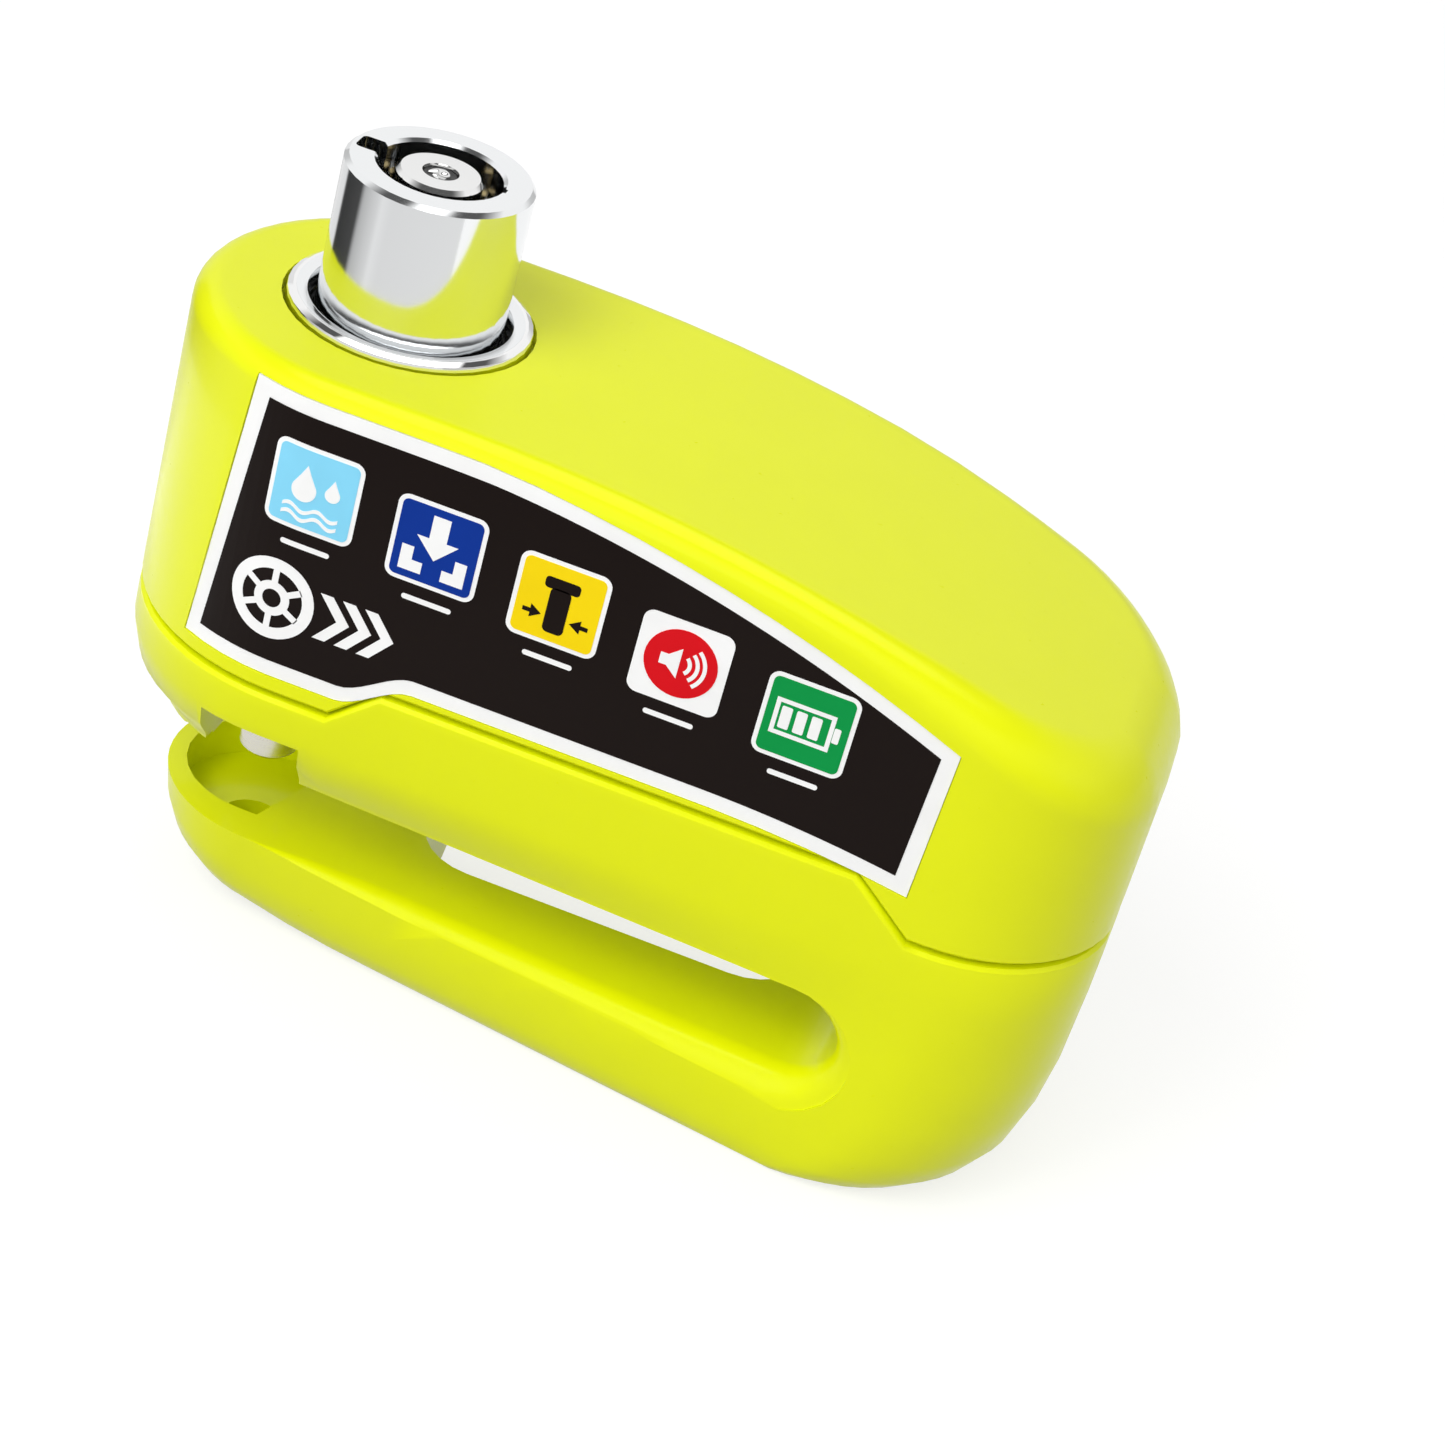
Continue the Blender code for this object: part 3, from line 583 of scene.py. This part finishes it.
def piece_from(bm, name, material, body):
    """A smooth piece from a bmesh, on a body and in a material slot."""
    bmesh.ops.recalc_face_normals(bm, faces=bm.faces[:])
    mesh = bpy.data.meshes.new(name)
    bm.to_mesh(mesh)
    bm.free()
    mesh.materials.append(material)
    piece = bpy.data.objects.new(name, mesh)
    bpy.context.scene.collection.objects.link(piece)
    smooth(piece)
    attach(piece, body)
    return piece


def prism(outline, low, high):
    """A closed bmesh with an outline in plan and two heights."""
    bm = bmesh.new()
    rings = [[bm.verts.new(Vector((x, y, z)) * MM) for x, y in outline] for z in (low, high)]
    bm.faces.new(rings[0][::-1])
    bm.faces.new(rings[1])
    for k in range(len(outline)):
        j = (k + 1) % len(outline)
        bm.faces.new((rings[0][k], rings[0][j], rings[1][j], rings[1][k]))
    return bm


def chrome_barrel(chrome_finish):
    """The push cylinder with its tab slot as wide as in the photograph."""
    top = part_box("lock_cylinder")[1].z / MM
    length, width = TAB_SLOT
    cutter_mesh = bpy.data.meshes.new("tab_slot")
    outline = rounded_box((CYLINDER_X - TAB_SLOT_AT, 0), length, width, TAB_SLOT_CORNER)
    bm = prism(outline, top - TAB_SLOT_DEPTH, top + TAB_SLOT_OVER)
    bm.to_mesh(cutter_mesh)
    bm.free()
    cutter = bpy.data.objects.new("tab_slot", cutter_mesh)
    barrel = bpy.data.objects.new("chrome_barrel", frame["nodes"]["lock_cylinder"].data.copy())
    for made in (cutter, barrel):
        bpy.context.scene.collection.objects.link(made)
    cut = barrel.modifiers.new("slot", "BOOLEAN")
    cut.object = cutter
    cut.solver = "EXACT"
    bpy.context.view_layer.update()
    slotted = barrel.evaluated_get(bpy.context.evaluated_depsgraph_get())
    barrel.data = bpy.data.meshes.new_from_object(slotted)
    barrel.modifiers.clear()
    bpy.data.objects.remove(cutter)
    barrel.data.materials.clear()
    barrel.data.materials.append(chrome_finish)
    smooth(barrel)
    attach(barrel, "push_cylinder")
    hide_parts("lock_cylinder")


def bridge(bm, rings):
    """Skins a row of rings and closes both ends."""
    for ring, following in zip(rings, rings[1:]):
        for i in range(len(ring)):
            j = (i + 1) % len(ring)
            bm.faces.new((ring[i], ring[j], following[j], following[i]))
    bm.faces.new(rings[0])
    bm.faces.new(rings[-1])


def core_lug(finish):
    """The comma-shaped bead in the core's end: round sections along a curve, thicker at one end."""
    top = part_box("key_core")[1].z / MM
    tail, bend, head = [Vector((x, y, 0)) for x, y in LUG_CURVE]
    bm = bmesh.new()
    rings = []
    for k in range(LUG_SECTIONS):
        share = k / (LUG_SECTIONS - 1)
        along = (bend - tail) * (1 - share) + (head - bend) * share
        across = along.normalized().cross(Vector((0, 0, 1)))
        place = tail * (1 - share) ** 2 + bend * 2 * share * (1 - share) + head * share**2
        middle = place + Vector((CYLINDER_X, 0, top - LUG_DEPTH))
        ends = math.sqrt(max(0.03, 1 - (2 * share - 1) ** 6))
        thick = (LUG_TAIL + (LUG_HEAD - LUG_TAIL) * share) * ends
        ring = []
        for x, y in circle((0, 0), thick, LUG_SIDES):
            ring.append(bm.verts.new((middle + across * x + Vector((0, 0, y * LUG_FLATTEN))) * MM))
        rings.append(ring)
    bridge(bm, rings)
    piece_from(bm, "core_lug", finish, "core")


def coil_spring(finish):
    """The return spring as round wire."""
    low, high = [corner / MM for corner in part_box("return_spring")]
    centre = (low + high) / 2
    radius = (high.x - low.x) / 2 - WIRE
    steps = SPRING_STEPS * SPRING_TURNS
    bm = bmesh.new()
    rings = []
    for k in range(steps + 1):
        angle = 2 * math.pi * SPRING_TURNS * k / steps
        out = Vector((math.cos(angle), math.sin(angle), 0))
        height = low.z + WIRE + (high.z - low.z - 2 * WIRE) * k / steps
        middle = Vector((centre.x, centre.y, height)) + out * radius
        ring = [middle + out * x + Vector((0, 0, z)) for x, z in circle((0, 0), WIRE, WIRE_SIDES)]
        rings.append([bm.verts.new(point * MM) for point in ring])
    bridge(bm, rings)
    spring = piece_from(bm, "coil_spring", finish, "housing")
    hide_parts("return_spring")
    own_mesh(spring)


def cylinder_details():
    """The barrel, the spring, a lip, a rubber wiper in the collar's gap that is black to paint the gap's
    shade, a dark disc that paints the shade of the core's recess, and the bead in it.
    """
    shine = bpy.data.materials["chrome"]
    chrome_barrel(shine)
    core_lug(bpy.data.materials["polished_steel"])
    coil_spring(bpy.data.materials["steel"])
    core_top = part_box("key_core")[1].z / MM
    # A dark disc in the core's recess: painted shade behind the bead.
    shadow = moulded("recess_painted_shade", RECESS_SHADE_COLOUR, 0.5)
    turned_piece("core_recess_shade", [(r, core_top + z) for r, z in DISH], shadow, "core", DISH_STEPS)
    collar_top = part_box("collar_ring")[1].z / MM
    lip = [(r, collar_top + z) for r, z in LIP_OUTSIDE + LIP_INSIDE]
    turned_piece("collar_lip", lip, shine, "housing")
    # The wiper's black paints the shade of the collar's gap.
    rubber = moulded("wiper_shade_rubber", WIPER_SHADE_BLACK, 0.7)
    turned_piece("wiper_shade_ring", [(r, collar_top + z) for r, z in WIPER_SHADE_RING], rubber, "housing")


# Studio


def camera():
    """The photograph's view, from the fitted angles."""
    azimuth, elevation, roll = [math.radians(a) for a in (CAMERA_AZIMUTH, CAMERA_ELEVATION, CAMERA_ROLL)]
    flat = math.cos(elevation)
    back = Vector((math.sin(azimuth) * flat, -math.cos(azimuth) * flat, math.sin(elevation)))
    level = Vector((math.cos(azimuth), math.sin(azimuth), 0.0))
    raised = back.cross(level)
    right = level * math.cos(roll) + raised * math.sin(roll)
    up = raised * math.cos(roll) - level * math.sin(roll)
    place = CAMERA_TARGET + back * CAMERA_DISTANCE + right * CAMERA_ACROSS + up * CAMERA_UP
    data = bpy.data.cameras.new("camera")
    data.sensor_width = SENSOR
    data.lens = SENSOR * FOCAL_PIXELS / IMAGE_PIXELS
    data.clip_start = CAMERA_NEAR
    made = bpy.data.objects.new("camera", data)
    turn = Matrix((right, up, back)).transposed().to_4x4()
    made.matrix_world = Matrix.Translation(place * MM) @ turn
    bpy.context.scene.collection.objects.link(made)
    bpy.context.scene.camera = made


def seen_directly(tree):
    """1 for rays that show the background itself: from the camera, a mirror or glass."""
    path = tree.nodes.new("ShaderNodeLightPath")
    first = tree.nodes.new("ShaderNodeMath")
    first.operation = "MAXIMUM"
    tree.links.new(path.outputs["Is Camera Ray"], first.inputs[0])
    tree.links.new(path.outputs["Is Glossy Ray"], first.inputs[1])
    second = tree.nodes.new("ShaderNodeMath")
    second.operation = "MAXIMUM"
    tree.links.new(first.outputs["Value"], second.inputs[0])
    tree.links.new(path.outputs["Is Transmission Ray"], second.inputs[1])
    return second.outputs["Value"]


def world():
    """Even white light, which shows as plain white where it is seen. Mirrors see its shades."""
    made = bpy.data.worlds.new("studio")
    made.use_nodes = True
    tree = made.node_tree
    background = tree.nodes["Background"]
    strength = tree.nodes.new("ShaderNodeMapRange")
    strength.inputs["To Min"].default_value = WORLD_LIGHT
    strength.inputs["To Max"].default_value = 1.0
    tree.links.new(seen_directly(tree), strength.inputs["Value"])
    tree.links.new(strength.outputs["Result"], background.inputs["Strength"])
    coordinates = tree.nodes.new("ShaderNodeTexCoord")
    axes = tree.nodes.new("ShaderNodeSeparateXYZ")
    tree.links.new(coordinates.outputs["Generated"], axes.inputs["Vector"])
    overhead = shades(tree, axes.outputs["Z"], SKY_SHADES)
    path = tree.nodes.new("ShaderNodeLightPath")
    mix = tree.nodes.new("ShaderNodeMixRGB")
    mix.inputs["Color1"].default_value = (*WHITE, 1.0)
    tree.links.new(path.outputs["Is Glossy Ray"], mix.inputs["Fac"])
    tree.links.new(overhead, mix.inputs["Color2"])
    tree.links.new(mix.outputs["Color"], background.inputs["Color"])
    bpy.context.scene.world = made


def stage_piece(name, points, faces, material):
    mesh = bpy.data.meshes.new(name)
    mesh.from_pydata(points, [], faces)
    mesh.materials.append(material)
    made = bpy.data.objects.new(name, mesh)
    bpy.context.scene.collection.objects.link(made)
    return made


def floor():
    """A pale floor that keeps the shadow and glows a little where it is seen, so that it reads as white."""
    made = bpy.data.materials.new("floor")
    made.use_nodes = True
    tree = made.node_tree
    principled = tree.nodes["Principled BSDF"]
    principled.inputs["Base Color"].default_value = FLOOR_COLOUR
    principled.inputs["Roughness"].default_value = FLOOR_ROUGHNESS
    principled.inputs["Specular IOR Level"].default_value = 0.0
    principled.inputs["Emission Color"].default_value = (*WHITE, 1.0)
    glow = tree.nodes.new("ShaderNodeMath")
    glow.operation = "MULTIPLY"
    glow.inputs[1].default_value = FLOOR_GLOW
    tree.links.new(seen_directly(tree), glow.inputs[0])
    tree.links.new(glow.outputs["Value"], principled.inputs["Emission Strength"])
    plan = ((-1, -1), (1, -1), (1, 1), (-1, 1))
    corners = [Vector((across, along, 0)) * FLOOR_REACH for across, along in plan]
    stage_piece("floor", corners, [(0, 1, 2, 3)], made)


def glowing(name, strength=1.0):
    """A black material that gives off white light."""
    made = bpy.data.materials.new(name)
    made.use_nodes = True
    principled = made.node_tree.nodes["Principled BSDF"]
    principled.inputs["Base Color"].default_value = (0.0, 0.0, 0.0, 1.0)
    principled.inputs["Specular IOR Level"].default_value = 0.0
    principled.inputs["Emission Color"].default_value = (*WHITE, 1.0)
    principled.inputs["Emission Strength"].default_value = strength
    return made


def only_in_mirrors(card):
    card.visible_camera = False
    card.visible_diffuse = False
    card.visible_shadow = False
    card.visible_transmission = False


def mirror_screen():
    """A curved grey screen round the cylinder, which gives the chrome something to reflect."""
    material = glowing("screen")
    tree = material.node_tree
    coordinates = tree.nodes.new("ShaderNodeTexCoord")
    bearing = tree.nodes.new("ShaderNodeTexGradient")
    bearing.gradient_type = "RADIAL"
    tree.links.new(coordinates.outputs["Object"], bearing.inputs["Vector"])
    stops = [((at - SCREEN_MIDDLE) / 360 + 0.5, shade) for at, shade in SCREEN_SHADES]
    grey = shades(tree, bearing.outputs["Fac"], stops)
    tree.links.new(grey, tree.nodes["Principled BSDF"].inputs["Emission Color"])
    start, stop = SCREEN_SHADES[0][0] - SCREEN_MIDDLE, SCREEN_SHADES[-1][0] - SCREEN_MIDDLE
    plan = arc((0, 0), SCREEN_DISTANCE, start, stop, SCREEN_STEPS)
    points = [Vector((x, y, z)) * MM for z in SCREEN_HEIGHTS for x, y in plan]
    count = len(plan)
    faces = [(k, k + 1, count + k + 1, count + k) for k in range(count - 1)]
    screen = stage_piece("mirror_screen", points, faces, material)
    screen.location = Vector((CYLINDER_X, 0, 0)) * MM
    screen.rotation_euler.z = math.radians(SCREEN_MIDDLE)
    only_in_mirrors(screen)


def floor_sheet():
    left, right, front, rear = SHEET
    plan = ((left, front), (right, front), (right, rear), (left, rear))
    corners = [Vector((x, y, SHEET_HEIGHT)) * MM for x, y in plan]
    only_in_mirrors(stage_piece("floor_sheet", corners, [(0, 1, 2, 3)], glowing("sheet", SHEET_GLOW)))


def area_light(name, place, size, power):
    data = bpy.data.lights.new(name, "AREA")
    data.shape = "SQUARE"
    data.size = size
    data.energy = power
    made = bpy.data.objects.new(name, data)
    made.location = place
    made.rotation_euler = (Vector(LAMP_TARGET) - Vector(place)).to_track_quat("-Z", "Y").to_euler()
    made.visible_glossy = False
    bpy.context.scene.collection.objects.link(made)


def studio():
    bpy.context.scene.view_settings.view_transform = "Standard"
    world()
    floor()
    for lamp in LAMPS:
        area_light(*lamp)
    mirror_screen()
    floor_sheet()


finish_nodes()
front_print()
cylinder_details()
camera()
studio()

bpy.context.view_layer.update()
